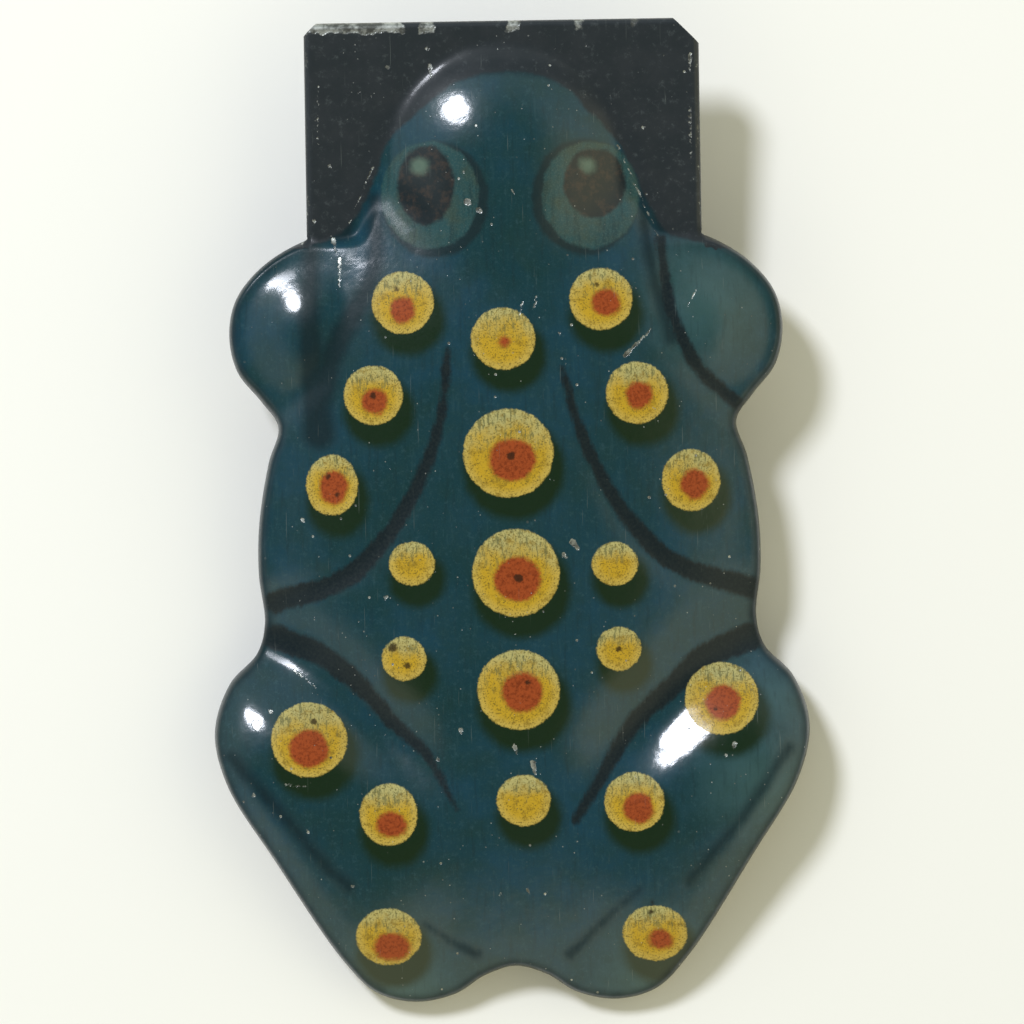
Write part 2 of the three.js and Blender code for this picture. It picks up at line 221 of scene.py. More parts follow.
# Where the rolled front has lost its ink: (from x, to x), and how far back from the front edge
WORN_FRONT = [(-15.5, -8.2), (-6.7, -5.8), (0.1, 0.9), (5.4, 5.8), (9.6, 10.1)]
WORN_DEPTH = 0.75
# Scratches through the print, and painted glints: bare-metal marks that stand in for highlights on the left
# thigh, the left arm's top and the head's side creases: (start, end, half-width at the start)
SCRATCHES_AND_GLINTS = [
    ((9.2, 12.1), (11.3, 14.2), 0.14),
    ((-6.0, 34.6), (-5.9, 33.6), 0.16),
    ((5.1, -2.4), (5.6, -3.0), 0.22),
    ((4.4, -3.4), (4.7, -3.6), 0.16),
    ((-3.1, 24.05), (-2.9, 23.8), 0.26),
    ((-2.2, 23.4), (-2.0, 23.2), 0.2),
    ((2.0, -19.6), (2.2, -20.4), 0.2),
    ((0.6, -18.3), (0.8, -18.9), 0.16),
    ((-3.6, -17.0), (-3.5, -17.3), 0.16),
    ((-5.4, -19.3), (-5.3, -19.5), 0.14),
    # Painted glints: the next three marks stand in for highlights on the left thigh.
    ((-19.5, -16.6), (-19.3, -17.0), 0.34),
    ((-18.4, -15.6), (-18.3, -15.7), 0.16),
    ((-16.5, -12.4), (-14.9, -13.7), 0.1),
    ((-17.3, -21.3), (-15.6, -21.4), 0.09),
    ((-15.5, -24.9), (-15.4, -25.1), 0.13),
    ((-19.7, -22.1), (-19.6, -22.2), 0.14),
    ((-12.0, -29.2), (-11.9, -29.3), 0.13),
    ((17.7, -18.1), (17.6, -18.4), 0.17),
    ((17.0, -19.0), (16.9, -18.9), 0.13),
    # Painted glints: the next two marks stand in for highlights at the top of the left arm.
    ((-13.0, 19.6), (-13.05, 17.4), 0.14),
    ((-13.5, 21.1), (-13.3, 20.1), 0.17),
    ((-15.9, 20.8), (-15.5, 20.7), 0.1),
    ((1.2, 16.3), (0.9, 14.9), 0.09),
    ((2.3, 16.6), (2.0, 15.4), 0.09),
    ((4.1, 13.8), (4.2, 13.7), 0.13),
    ((-9.4, -6.7), (-9.4, -6.9), 0.13),
    ((-15.9, -0.7), (-15.8, -0.9), 0.15),
    ((14.7, 17.2), (13.9, 15.8), 0.07),
    ((0.4, 25.0), (0.5, 24.5), 0.08),
    ((-0.5, -29.8), (-0.3, -30.2), 0.1),
    ((1.6, -29.4), (1.7, -29.8), 0.1),
    ((3.2, -29.6), (3.3, -29.9), 0.08),
    ((-9.3, 34.5), (-9.2, 34.4), 0.14),
    ((-6.2, 35.9), (-6.1, 35.8), 0.14),
    ((10.6, 29.8), (10.7, 29.7), 0.13),
    ((-11.5, 32.5), (-11.4, 32.4), 0.11),
    ((-15.0, 22.6), (-14.9, 22.4), 0.13),
    ((-13.8, 26.8), (-13.7, 26.7), 0.12),
    ((14.2, 35.5), (14.2, 34.2), 0.13),
    ((14.2, 31.4), (14.3, 26.3), 0.1),
    ((-14.7, 33.0), (-14.8, 24.0), 0.05),
    # Painted highlights: the last three marks are the bright lines along the head's side creases.
    ((-10.4, 26.8), (-12.3, 22.3), 0.07),
    ((8.6, 28.4), (9.9, 25.6), 0.06),
    ((9.9, 25.6), (11.8, 21.3), 0.07),
]
# A painted glint's end narrows in the same way as a scratch's.
SCRATCH_AND_GLINT_TAPER = 0.4  # a scratch's end is this much of its start's width

# Inks and metals, as 0 to 255 display values
INKS = dict(
    teal_green=(12, 52, 60), teal_blue=(18, 59, 76), teal_olive=(22, 52, 48),
    # teal_painted_sheen is a paler teal that stands in for a reflection of the bright room.
    teal_speckle=(38, 70, 74), teal_painted_sheen=(66, 96, 94), teal_mottle=(46, 78, 86),
    bristle_dark=(12, 34, 38), bristle_light=(58, 90, 96), spot_shadow=(14, 36, 12),
    shading=(20, 32, 36), line=(20, 31, 36), line_worn=(30, 40, 42), eye_contour=(18, 36, 40),
    eye_ring=(34, 70, 74), eye_ring_olive=(50, 68, 60), eye_bristle=(20, 44, 46),
    eye_speckle=(70, 92, 88), pupil=(22, 32, 36), pupil_worn=(52, 46, 42), glint=(100, 126, 110),
    black=(38, 44, 48), black_worn=(43, 48, 52), scuff=(84, 92, 94), yellow=(184, 150, 42),
    yellow_faded=(168, 164, 112), yellow_rim=(190, 178, 112), yellow_speckle=(92, 82, 38),
    yellow_stain=(128, 104, 34), yellow_rubbed=(96, 98, 64), red=(152, 72, 36),
    red_dark=(116, 50, 22), dot=(40, 30, 20), worn_tin_and_glint=(178, 182, 176), worn_tin_and_glint_dark=(92, 94, 90),
    hairline=(120, 128, 124), bare_tin=(196, 190, 172), bare_tin_stain=(150, 132, 96),
    cut_edge=(170, 166, 156), cut_edge_stain=(96, 84, 70), steel=(166, 168, 168),
    steel_line=(132, 134, 136), steel_stain=(104, 90, 72), floor=(244, 244, 240),
    floor_shade=(240, 240, 236),
)

# Light: the room's colours on its cool and its bright side, and its strengths at the side and overhead
ROOM_COOL = (0.66, 0.72, 0.72, 1)
ROOM_WARM = (1.3, 1.22, 0.82, 1)
ROOM_SIDE = 0.78
ROOM_TOP = 0.13
BRIGHT_SIDE = (0.6, -0.8, 0)  # where the room is brightest and warmest
TINT_HALF_WIDTH = 0.5  # of the change from one colour to the other
# The dark part overhead, by how far up the direction points: it leans away from the bright side
DARK_FROM = 0.74
DARK_TO = 0.955
DARK_LEAN = -0.12
# The window's light: angles in degrees from +X towards +Y and up, lengths in metres, power in watts
WINDOW_AZIMUTH = 128
WINDOW_ELEVATION = 47
WINDOW_DISTANCE = 0.9
WINDOW_SIZE = 0.21
WINDOW_POWER = 6.0
WINDOW_COLOUR = (0.88, 0.91, 1.0)

# The floor falls this steeply from the toy's back end to its front, and is level far from the toy
FLOOR_FALL = 0.1
FLOOR_LEVEL_FROM = (46, 58)  # the distance from the toy's middle over which it levels out
FLOOR_SPAN = 70  # the part that is finely divided
FLOOR_HALF_WIDTH = 1500
FLOOR_GAP = 0.1  # under the toy's back end

# Mesh steps
MESH_STEP = 0.27
EDGE_RINGS = (0.02, 0.05, 0.1, 0.17, 0.26, 0.37, 0.5, 0.68)
STRIP_STEP = 0.6
STRIP_RINGS = (0.03, 0.07, 0.12, 0.2)
ROLL_POINTS = 15
LEAF_POINTS = 24
FLANGE_POINTS = 9
CORNER_POINTS = 9
PATH_STEP = 0.3  # along creases and the head's print
BRUSH_STEP = 0.2  # along brushed lines
SPAN_POINTS = 24  # worked out between two of a curve's own points
SHARP_ANGLE = 50  # in degrees
FIELD_LIMIT = 5  # the largest distance kept on a vertex


# ---- Plane curves ----

def catmull_rom(points, step):
    """Points every step along the smooth (centripetal) curve through the given points."""
    points = np.array(points, float)
    padded = np.vstack([2 * points[0] - points[1], points, 2 * points[-1] - points[-2]])
    share = np.linspace(0, 1, SPAN_POINTS, endpoint=False)[:, None]
    spans = []
    for p0, p1, p2, p3 in zip(padded, padded[1:], padded[2:], padded[3:]):
        pairs = ((p0, p1), (p1, p2), (p2, p3))
        before, along, after = (np.linalg.norm(b - a) ** 0.5 for a, b in pairs)
        start = (p2 - p1) + along * ((p1 - p0) / before - (p2 - p0) / (before + along))
        end = (p2 - p1) + along * ((p3 - p2) / after - (p3 - p1) / (along + after))
        cubed = 2 * (p1 - p2) + start + end
        squared = 3 * (p2 - p1) - 2 * start - end
        spans.append(cubed * share**3 + squared * share**2 + start * share + p1)
    return resample(np.vstack([*spans, points[-1:]]), step)


def resample(path, step):
    """The same path with evenly spaced points, about step apart."""
    path = np.array(path, float)
    travelled = np.concatenate([[0], np.cumsum(np.linalg.norm(np.diff(path, axis=0), axis=1))])
    at = np.linspace(0, travelled[-1], max(round(travelled[-1] / step), 1) + 1)
    return np.column_stack([np.interp(at, travelled, path[:, axis]) for axis in (0, 1)])


def mirrored(points):
    """The right side's points, then the left side's on the way back."""
    return [*points, *[(-x, y) for x, y in points[-2::-1]]]


def in_chunks(points, measure, size=3000):
    """measure(points) worked out a few thousand points at a time."""
    return np.concatenate([measure(points[i : i + size]) for i in range(0, len(points), size)])


def distance_to_path(points, path, closed=False):
    """Distance from each point to a path of straight segments."""
    start = path if closed else path[:-1]
    along = (np.roll(path, -1, axis=0) if closed else path[1:]) - start
    squared = (along**2).sum(1)

    def measure(chunk):
        offset = chunk[:, None] - start[None]
        share = np.clip((offset * along).sum(2) / squared, 0, 1)
        return np.linalg.norm(offset - share[..., None] * along, axis=2).min(1)

    return in_chunks(points, measure)


def inside(points, loop):
    """Whether each point lies inside a closed loop."""
    ends = np.roll(loop, -1, axis=0)

    def crossings(chunk):
        x, y = chunk[:, :1], chunk[:, 1:]
        spans = (loop[:, 1] > y) != (ends[:, 1] > y)
        rise = np.where(ends[:, 1] == loop[:, 1], 1, ends[:, 1] - loop[:, 1])
        cut = loop[:, 0] + (y - loop[:, 1]) * (ends[:, 0] - loop[:, 0]) / rise
        return (spans & (x < cut)).sum(1) % 2 == 1

    return in_chunks(points, crossings)


def smooth_max(a, b, width):
    """The larger of a and b, rounded off where they are less than width apart."""
    near = np.clip(width - np.abs(a - b), 0, None) / width
    return np.maximum(a, b) + near * near * width / 4


def smooth_step(low, high, value):
    """0 at low rising smoothly to 1 at high, and the same past them; low can be the larger."""
    share = np.clip((value - low) / (high - low), 0, 1)
    return share * share * (3 - 2 * share)


# ---- The shell's sheet ----

def frog_loop():
    """The frog's edge, anticlockwise."""
    head = catmull_rom(mirrored(HEAD_POINTS), MESH_STEP)
    side = catmull_rom(mirrored(SIDE_POINTS), MESH_STEP)
    return np.vstack([head, side[::-1][1:-1]])


def fold_limits(y):
    """Left and right edge of the rolled front at y, where its corners are snipped."""
    left = CLIP_LEFT + y - FRONT_Y - FOLD_HALF_WIDTH
    right = FOLD_HALF_WIDTH - CLIP_RIGHT + FRONT_Y - y
    return max(left, -FOLD_HALF_WIDTH), min(right, FOLD_HALF_WIDTH)


def sheet_loop():
    """The sheet's edge from above, anticlockwise from the front right, with the roll left out."""
    front_y = FRONT_Y - FOLD_RADIUS
    corner = PLATE_HALF_WIDTH - FOLD_HALF_WIDTH
    front_right = (FOLD_HALF_WIDTH - CLIP_RIGHT + FOLD_RADIUS, front_y)
    front_left = (CLIP_LEFT - FOLD_HALF_WIDTH - FOLD_RADIUS, front_y)
    clip_right = (PLATE_HALF_WIDTH, FRONT_Y - CLIP_RIGHT - corner)
    clip_left = (-PLATE_HALF_WIDTH, FRONT_Y - CLIP_LEFT - corner)
    end_right = (PLATE_HALF_WIDTH, PLATE_SIDE_END_Y)
    end_left = (-PLATE_HALF_WIDTH, PLATE_SIDE_END_Y)
    side = catmull_rom(mirrored(SIDE_POINTS), MESH_STEP)[::-1]
    side = side[side[:, 1] < PLATE_SIDE_END_Y - MESH_STEP / 3]
    down = [(front_right, front_left), (front_left, clip_left), (clip_left, end_left)]
    up = [(end_right, clip_right), (clip_right, front_right)]
    down_left = [resample(pair, MESH_STEP)[:-1] for pair in down]
    up_right = [resample(pair, MESH_STEP)[:-1] for pair in up]
    return np.vstack([*down_left, [end_left], side, *up_right])


def fill_loop(loop, rings, step):
    """Points and triangles that fill a closed loop: fine rings along it, an even lattice inside."""
    ring_share = 0.97  # ring points nearer to the loop than this much of their distance are left out
    lattice_share = 0.6  # of a step is kept clear between the last ring and the lattice
    merge_distance = 1e-7
    keep_inside = 1
    along = np.roll(loop, -1, axis=0) - np.roll(loop, 1, axis=0)
    along /= np.linalg.norm(along, axis=1)[:, None]
    inwards = np.column_stack([-along[:, 1], along[:, 0]])
    layers = [loop]
    for distance in rings:
        ring = loop + inwards * distance
        ring = ring[inside(ring, loop)]
        layers.append(ring[distance_to_path(ring, loop, True) > ring_share * distance])
    low, high = loop.min(0), loop.max(0)
    rows = np.arange(low[1], high[1], step * math.sqrt(3) / 2)
    columns = np.arange(low[0], high[0], step)
    lattice = np.array([(x + step / 2 * (row % 2), y) for row, y in enumerate(rows) for x in columns])
    lattice = lattice[inside(lattice, loop)]
    clear = rings[-1] + lattice_share * step
    layers.append(lattice[distance_to_path(lattice, loop, True) > clear])
    points = [Vector(point) for point in np.vstack(layers)]
    face = list(range(len(loop)))
    found = geometry.delaunay_2d_cdt(points, [], [face], keep_inside, merge_distance)
    return np.array([tuple(point) for point in found[0]]), [tuple(corners) for corners in found[2]]


def bulge_height(points, start, end, across, along, top):
    """A rounded rise along a line, with its own radii of curvature across the line and past its ends."""
    start, end = np.array(start), np.array(end)
    length = np.linalg.norm(end - start)
    line = (end - start) / length
    offset = points - start
    side = offset @ (-line[1], line[0])
    travelled = offset @ line
    beyond = travelled - np.clip(travelled, 0, length)
    return top - side**2 / (2 * across) - beyond**2 / (2 * along)


def crease_share(points, path, width):
    """1 along a crease, falling to 0 on both sides of it and over its first half."""
    chord = path[-1] - path[0]
    fade = smooth_step(0, 0.5, (points - path[0]) @ chord / (chord @ chord))
    return fade * np.exp(-((distance_to_path(points, path) / width) ** 2))


def relief_height(points):
    """Height of the bulges and creases, before the rim pulls them down to the outline."""
    right = np.column_stack([np.abs(points[:, 0]), points[:, 1]])
    (behind_y, behind), (beside_y, beside) = RELIEF_FLOOR
    height = behind + (beside - behind) * smooth_step(behind_y, beside_y, points[:, 1])
    for bulge in BULGES.values():
        height = smooth_max(height, bulge_height(right, *bulge), FILLET)
    for path, depth, width in CREASES:
        height = height - depth * crease_share(right, catmull_rom(path, PATH_STEP), width)
    return height


def rounded(share):
    """A quarter circle's rise from 0 at 0 to 1 at 1."""
    left = 1 - np.clip(share, 0, 1)
    return np.sqrt(1 - left**2)


def frog_height(points, loop):
    """Height of the pressed frog over the rim plane, falling away below it outside the frog's edge."""
    distance = distance_to_path(points, loop, True)
    within = inside(points, loop)
    run = np.interp(points[:, 1], *zip(*EDGE_RUNS))
    rise = WALL_SHARE * rounded(distance / WALL_RUN) + (1 - WALL_SHARE) * rounded(distance / run)
    on_plate = smooth_step(*HEAD_FROM, points[:, 1])
    rise += on_plate * (smooth_step(0, HEAD_RUN, distance) - rise)
    base = (PLATE_TOP - HEAD_SINK) * on_plate
    height = base + (relief_height(points) - base) * rise
    head = bulge_height(points, *HEAD_BULGE)
    height = smooth_max(height, head, FILLET)
    outside = np.where(points[:, 1] > PLATE_SIDE_END_Y, head, -OUTER_SLOPE * distance)
    return np.where(within | (distance < TOUCHING), height, outside)


def plate_height(points):
    """Height of the flat plate, which bends down at its sides; far below zero beyond them."""
    x, y = points.T
    past = np.clip(np.abs(x) - (PLATE_HALF_WIDTH - FLANGE_BEND), 0, FLANGE_BEND)
    height = PLATE_TOP - FLANGE_BEND + np.sqrt(np.clip(FLANGE_BEND**2 - past**2, 0, None))
    over = (np.abs(x) < PLATE_HALF_WIDTH + TOUCHING) & (y > PLATE_SIDE_END_Y - PLATE_TUCK)
    return np.where(over, height, -FAR)


def strips_between(rows):
    """Quads that join each row of vertex numbers to the next."""
    quads = []
    for upper, lower in zip(rows, rows[1:]):
        quads += [(a, c, d, b) for a, b, c, d in zip(upper, upper[1:], lower, lower[1:])]
    return quads


def roll_front(points, faces, front):
    """Add the rolled front and its lower leaf to a surface, from its front row of points, right to left."""
    front_y = FRONT_Y - FOLD_RADIUS
    left_x, right_x = points[front[-1]][0], points[front[0]][0]
    shares = [(points[i][0] - left_x) / (right_x - left_x) for i in front]
    turns = np.linspace(0, math.pi, ROLL_POINTS)[1:]
    sections = [
        (front_y + FOLD_RADIUS * math.sin(a), PLATE_TOP - FOLD_RADIUS * (1 - math.cos(a))) for a in turns
    ]
    leaf = np.linspace(front_y, FRONT_Y - FOLD_DEPTH, LEAF_POINTS)[1:]
    sections += [(y, FOLD_LIFT) for y in leaf]
    rows = [front]
    for y, z in sections:
        left, right = fold_limits(y)
        rows.append(list(range(len(points), len(points) + len(shares))))
        points += [(left + (right - left) * share, y, z) for share in shares]
    faces += strips_between(rows)


def drop_flange(points, faces, upper):
    """Add a side flange to a surface, from its upper row of points down to the rim plane."""
    rows = [upper]
    for share in np.linspace(1, 0, FLANGE_POINTS)[1:]:
        rows.append(list(range(len(points), len(points) + len(upper))))
        points += [(points[i][0], points[i][1], points[i][2] * share) for i in upper]
    faces += strips_between(rows)


def shell_surface():
    """The outer surface of the whole sheet: relief, plate, side flanges, rolled front and its leaf."""
    loop = sheet_loop()
    flat, faces = fill_loop(loop, EDGE_RINGS, MESH_STEP)
    height = smooth_max(frog_height(flat, frog_loop()), plate_height(flat), PLATE_FILLET)
    on_rim = distance_to_path(flat, loop, True) < TOUCHING
    on_rim &= flat[:, 1] < PLATE_SIDE_END_Y + TOUCHING
    height = np.where(on_rim, 0, height)
    points = [tuple(point) for point in np.column_stack([flat, height])]

    numbers = np.arange(len(points))
    at_front = np.abs(flat[:, 1] - (FRONT_Y - FOLD_RADIUS)) < TOUCHING
    roll_front(points, faces, sorted(numbers[at_front], key=lambda i: -flat[i, 0]))
    for side in (-1, 1):
        edge = np.abs(flat[:, 0] - side * PLATE_HALF_WIDTH) < TOUCHING
        edge &= flat[:, 1] > PLATE_SIDE_END_Y - TOUCHING
        drop_flange(points, faces, sorted(numbers[edge], key=lambda i: side * flat[i, 1]))
    return np.array(points), faces


def vertex_normals(points, faces):
    """Unit normals of a surface at its points, each face counted by its area."""
    total = np.zeros_like(points)
    for corners in (3, 4):
        group = np.array([f for f in faces if len(f) == corners])
        if not len(group):
            continue
        a, b, c = points[group[:, 0]], points[group[:, 1]], points[group[:, 2]]
        last = points[group[:, corners - 1]]
        normal = np.cross(c - a, last - b) if corners == 4 else np.cross(b - a, c - a)
        for k in range(corners):
            np.add.at(total, group[:, k], normal)
    return total / np.maximum(np.linalg.norm(total, axis=1), 1e-12)[:, None]


def open_edges(faces):
    """Directed edges that only one face has."""
    edges = {(f[k], f[(k + 1) % len(f)]) for f in faces for k in range(len(f))}
    return [(a, b) for a, b in edges if (b, a) not in edges]


def thicken(points, faces, thickness):
    """A closed sheet: the outer surface, a copy of it inside by the thickness, and the cut edge between.
    Returns its points, faces and a material number for each face: 0 outside, 1 inside, 2 cut edge."""
    count = len(points)
    inner = points - thickness * vertex_normals(points, faces)
    rim = sorted(open_edges(faces))
    on_rim = np.zeros(count, bool)
    on_rim[[a for a, b in rim]] = True
    stands = on_rim & (points[:, 2] < TOUCHING)
    inner[stands, 2] = 0
    inside_faces = [tuple(i + count for i in f[::-1]) for f in faces]
    rim_faces = [(b, a, a + count, b + count) for a, b in rim]
    kinds = [0] * len(faces) + [1] * len(faces) + [2] * len(rim_faces)
    return np.vstack([points, inner]), faces + inside_faces + rim_faces, kinds


def make_object(name, points, faces, kinds, materials):
    """A smooth-shaded mesh object from points in millimetres."""
    mesh = bpy.data.meshes.new(name)
    mesh.from_pydata((points * MM).tolist(), [], faces)
    mesh.polygons.foreach_set("use_smooth", [True] * len(faces))
    mesh.polygons.foreach_set("material_index", kinds)
    mesh.set_sharp_from_angle(angle=math.radians(SHARP_ANGLE))
    mesh.update()
    for material in materials:
        mesh.materials.append(material)
    made = bpy.data.objects.new(name, mesh)
    bpy.context.scene.collection.objects.link(made)
    return made


# ---- The print, as distances in millimetres, below zero inside each printed shape ----

def seen_from_above(points):
    """Where each point of the shell is in the pattern's coordinates."""
    offset = (points[:, :2] - VIEW_CENTRE) * (VIEW_HEIGHT / (VIEW_HEIGHT - points[:, 2:3]))
    cos, sin = math.cos(VIEW_TURN), math.sin(VIEW_TURN)
    return PRINT_CENTRE + offset @ np.array([[cos, -sin], [sin, cos]])


def to_ellipse(at, x, y, rx, ry):
    """Distance to an ellipse, near enough for one that is almost round."""
    return (np.hypot((at[:, 0] - x) / rx, (at[:, 1] - y) / ry) - 1) * min(rx, ry)


def to_disk(at, x, y, radius):
    """Distance to a disk."""
    return to_ellipse(at, x, y, radius, radius)


def to_brush_line(at, points, start_width, end_width):
    """Distance to a brushed line, whose half-width changes evenly along it."""
    path = catmull_rom(points, BRUSH_STEP)
    widths = np.linspace(start_width, end_width, len(path))
    return in_chunks(at, lambda chunk: (np.linalg.norm(chunk[:, None] - path, axis=2) - widths).min(1))


def nearest(measure, at, shapes):
    """Distance to the nearest of several shapes."""
    return np.min([measure(at, *shape) for shape in shapes], axis=0)


def black_distance(at):
    """Distance to the black plate's print, below zero on it."""
    head = catmull_rom(HEAD_PRINT, PATH_STEP)
    (left_x, _), (right_x, _) = HEAD_PRINT[0], HEAD_PRINT[-1]
    teal_area = np.vstack([head, [(right_x, HEAD_PRINT_BACK_Y), (left_x, HEAD_PRINT_BACK_Y)]])
    teal = inside(at, teal_area) | (at[:, 1] < BLACK_FROM_Y)
    return np.where(teal, 1, -1) * distance_to_path(at, head)


def worn_edge_distance(points, at):
    """Distance to the worn stretches of the rolled front, and to the plate's side edges."""
    in_front = points[:, 1] > FRONT_Y - 2 * FOLD_RADIUS
    along = [np.abs(at[:, 0] - (a + b) / 2) - (b - a) / 2 for a, b in WORN_FRONT]
    rolled = np.maximum(FRONT_Y - points[:, 1] - WORN_DEPTH, np.min(along, axis=0))
    across = PLATE_HALF_WIDTH - np.abs(points[:, 0])
    flange = np.hypot(across, np.minimum(points[:, 2] - PLATE_TOP, 0))
    on_plate = points[:, 1] > PLATE_SIDE_END_Y
    return np.minimum(np.where(in_front, rolled, FAR), np.where(on_plate, flange, FAR))


def print_fields(points):
    """Every field that the tin's material reads, by attribute name."""
    at = seen_from_above(points)
    margin = 0.1
    leaf = points[:, 2] < FOLD_LIFT + margin
    leaf &= points[:, 1] > FRONT_Y - FOLD_DEPTH - margin
    at = np.where(leaf[:, None], PLAIN_BLACK, at)
    shift_x, shift_y = SPOT_SHADE_SHIFT
    more_x, more_y = SPOT_SHADE_SPREAD
    yellow = [spot[:4] for spot in SPOTS]
    red = [spot[4] for spot in SPOTS if spot[4]]
    shade = [(x + shift_x, y + shift_y, rx + more_x, ry + more_y) for x, y, rx, ry in yellow]
    closest = np.argmin([to_ellipse(at, *spot) for spot in yellow], axis=0)
    middle_y, radius_y = (np.array([spot[k] for spot in yellow])[closest] for k in (1, 3))
    fields = {
        "yellow": nearest(to_ellipse, at, yellow),
        "red": nearest(to_ellipse, at, red),
        "spot_shade": nearest(to_ellipse, at, shade),
        "spot_height": (at[:, 1] - middle_y) / radius_y,
        "dot": nearest(to_disk, at, DOTS),
        "line": nearest(to_brush_line, at, LINES),
        "shading": nearest(to_brush_line, at, SHADING),
        "painted_sheen": nearest(to_disk, at, PAINTED_SHEEN_AREAS),
        "dull": nearest(to_ellipse, at, DULL_AREAS),
        "black": black_distance(at),
        "scratch_and_glint": nearest(to_brush_line, at, [((a, b), w, w * SCRATCH_AND_GLINT_TAPER) for a, b, w in SCRATCHES_AND_GLINTS]),
        "worn_edge": worn_edge_distance(points, at),
        "edge": distance_to_path(points[:, :2], frog_loop(), True),
    }
    for name, shapes in zip(("eye", "eye_contour", "pupil", "glint"), zip(*EYES)):
        fields[name] = nearest(to_ellipse, at, shapes)
    return fields


def add_fields(mesh, fields):
    """Keep the fields on the mesh's vertices."""
    for name, values in fields.items():
        attribute = mesh.attributes.new(name, "FLOAT", "POINT")
        kept = np.clip(values, -FIELD_LIMIT, FIELD_LIMIT).astype(np.float32)
        attribute.data.foreach_set("value", kept)


# ---- Material nodes ----

def srgb(red, green, blue):
    """A colour given as 0 to 255 display values, for a shader socket."""
    curve = [((value / 255 + 0.055) / 1.055) ** 2.4 for value in (red, green, blue)]
    return (*curve, 1)


INK = {name: srgb(*values) for name, values in INKS.items()}


class Nodes:
    """Short calls for the nodes in a tree."""

    def __init__(self, tree):
        self.tree = tree

    def new(self, kind):
        return self.tree.nodes.new("ShaderNode" + kind)

    def link(self, value, socket):
        """Feed a socket from another node, or give it a plain value."""
        if isinstance(value, bpy.types.NodeSocket):
            self.tree.links.new(value, socket)
        else:
            socket.default_value = value

    def math(self, operation, a, b):
        node = self.new("Math")
        node.operation = operation
        self.link(a, node.inputs[0])
        self.link(b, node.inputs[1])
        return node.outputs[0]

    def add(self, a, b):
        return self.math("ADD", a, b)

    def times(self, a, b):
        return self.math("MULTIPLY", a, b)

    def larger(self, a, b):
        return self.math("MAXIMUM", a, b)

    def centred(self, noise, size):
        """Noise moved from around 0.5 to around 0, and spread over size."""
        return self.times(self.math("SUBTRACT", noise, 0.5), size)

    def step(self, value, low, high, to_low=0.0, to_high=1.0):
        """value smoothly from to_low at low to to_high at high."""
        node = self.new("MapRange")
        node.interpolation_type = "SMOOTHSTEP"
        self.link(value, node.inputs["Value"])
        ends = {"From Min": low, "From Max": high, "To Min": to_low, "To Max": to_high}
        for socket, number in ends.items():
            node.inputs[socket].default_value = number
        return node.outputs["Result"]

    def mix(self, share, a, b):
        """Colour a at share 0, colour b at share 1; either can be an ink's name."""
        node = self.new("Mix")
        node.data_type = "RGBA"
        self.link(share, node.inputs["Factor"])
        for colour, socket in ((a, node.inputs[6]), (b, node.inputs[7])):
            self.link(INK[colour] if isinstance(colour, str) else colour, socket)
        return node.outputs[2]


class Material(Nodes):
    """A new material, and the nodes that say what it looks like at each place on the toy."""

    def __init__(self, name):
        self.material = bpy.data.materials.new(name)
        self.material.use_nodes = True
        super().__init__(self.material.node_tree)
        self.shader = self.tree.nodes["Principled BSDF"]
        scale = self.new("VectorMath")
        scale.operation = "SCALE"
        scale.inputs["Scale"].default_value = 1 / MM
        self.link(self.new("TexCoord").outputs["Object"], scale.inputs[0])
        self.place = scale.outputs[0]

    def field(self, name):
        """A field kept on the mesh's vertices."""
        node = self.new("Attribute")
        node.attribute_name = name
        return node.outputs["Fac"]

    def stretched(self, scale, turn=(0, 0, 0)):
        """The place on the toy, turned and scaled, for noise that isn't the same in all directions."""
        node = self.new("Mapping")
        node.inputs["Scale"].default_value = scale
        node.inputs["Rotation"].default_value = turn
        self.link(self.place, node.inputs["Vector"])
        return node.outputs[0]

    def noise(self, scale, detail=2.0, roughness=0.5, place=None):
        """Noise around 0.5 with about scale cells in each millimetre."""
        node = self.new("TexNoise")
        node.inputs["Scale"].default_value = scale
        node.inputs["Detail"].default_value = detail
        node.inputs["Roughness"].default_value = roughness
        self.link(place or self.place, node.inputs["Vector"])
        return node.outputs["Fac"]

    def cells(self, scale):
        """Distance to the nearest of random points, about scale of them in each millimetre, in cells."""
        node = self.new("TexVoronoi")
        node.inputs["Scale"].default_value = scale
        self.link(self.place, node.inputs["Vector"])
        return node.outputs["Distance"]

    def bump(self, height):
        """Bump from a height in millimetres."""
        node = self.new("Bump")
        node.inputs["Distance"].default_value = MM
        node.inputs["Strength"].default_value = 1.0
        self.link(height, node.inputs["Height"])
        return node.outputs[0]

    def set(self, **sockets):
        """Set or link the shader's sockets, named in lower case with underscores."""
        for name, value in sockets.items():
            self.link(value, self.shader.inputs[name.replace("_", " ").title().replace("Ior", "IOR")])


def litho_noises(n):
    """The random patterns that the tin's inks, wear and lacquer share."""
    wobble = n.centred(n.noise(0.9, 3), 0.5)
    ragged = n.centred(n.noise(5, 3, 0.6), 0.26)
    return SimpleNamespace(
        wobble=wobble,
        ragged=ragged,
        uneven=n.add(wobble, ragged),
        grain=n.noise(4.5, 3, 0.7),
        cloud=n.noise(0.12, 3, 0.55),
        blotch=n.noise(0.45, 4, 0.6),
        bristles=n.noise(1, 3, 0.6, n.stretched((3.0, 0.3, 1))),
        speckle=n.noise(8, 2, 0.6),
    )


